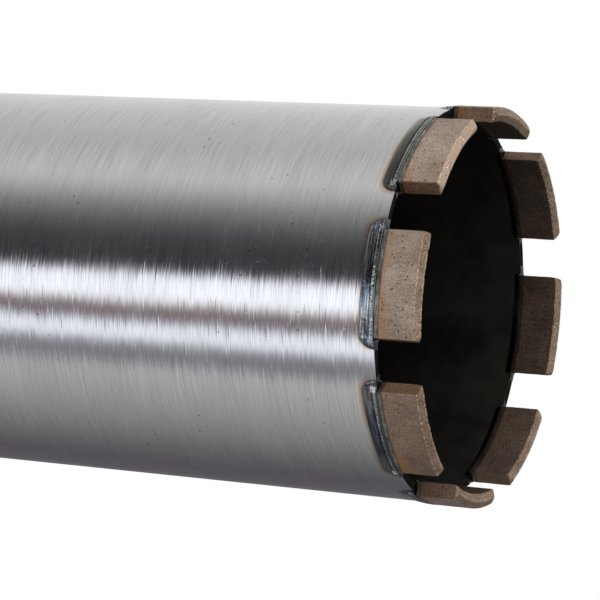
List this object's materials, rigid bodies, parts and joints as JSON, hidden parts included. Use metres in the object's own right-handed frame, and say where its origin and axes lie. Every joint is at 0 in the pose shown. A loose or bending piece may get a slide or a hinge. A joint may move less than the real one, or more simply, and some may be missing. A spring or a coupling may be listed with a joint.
{
  "type": "diamond core bit",
  "caption": "Thin-walled diamond core bit: steel barrel with laser-welded sintered segments on its rim and a welded end plate with a female threaded hex hub.",
  "frame": {"origin": "centre of the hub's flat mouth face, on which the bit stands", "axes": "+Z along the bit's axis, from the hub towards the cutting end; +X through the middle of segment_1"},
  "size_m": [0.092, 0.092, 0.3996],
  "materials": {
    "tube_steel": "brushed round the tube",
    "sintered_metal": "sintered metal with diamond grit, matt brown",
    "laser_weld": "fused steel with blue heat tint and a bright rippled seam",
    "turned_steel": "turned and milled",
    "arc_weld": "rippled weld bead"
  },
  "bodies": {
    "root": {"barrel_tube": "tube_steel", "segment_1": "sintered_metal", "segment_2": "sintered_metal", "segment_3": "sintered_metal", "segment_4": "sintered_metal", "segment_5": "sintered_metal", "segment_6": "sintered_metal", "segment_7": "sintered_metal", "segment_8": "sintered_metal", "segment_weld_1": "laser_weld", "segment_weld_2": "laser_weld", "segment_weld_3": "laser_weld", "segment_weld_4": "laser_weld", "segment_weld_5": "laser_weld", "segment_weld_6": "laser_weld", "segment_weld_7": "laser_weld", "segment_weld_8": "laser_weld", "end_plate": "turned_steel", "threaded_hub": "turned_steel", "rim_weld": "arc_weld", "hub_weld": "arc_weld"}
  },
  "joints": []
}
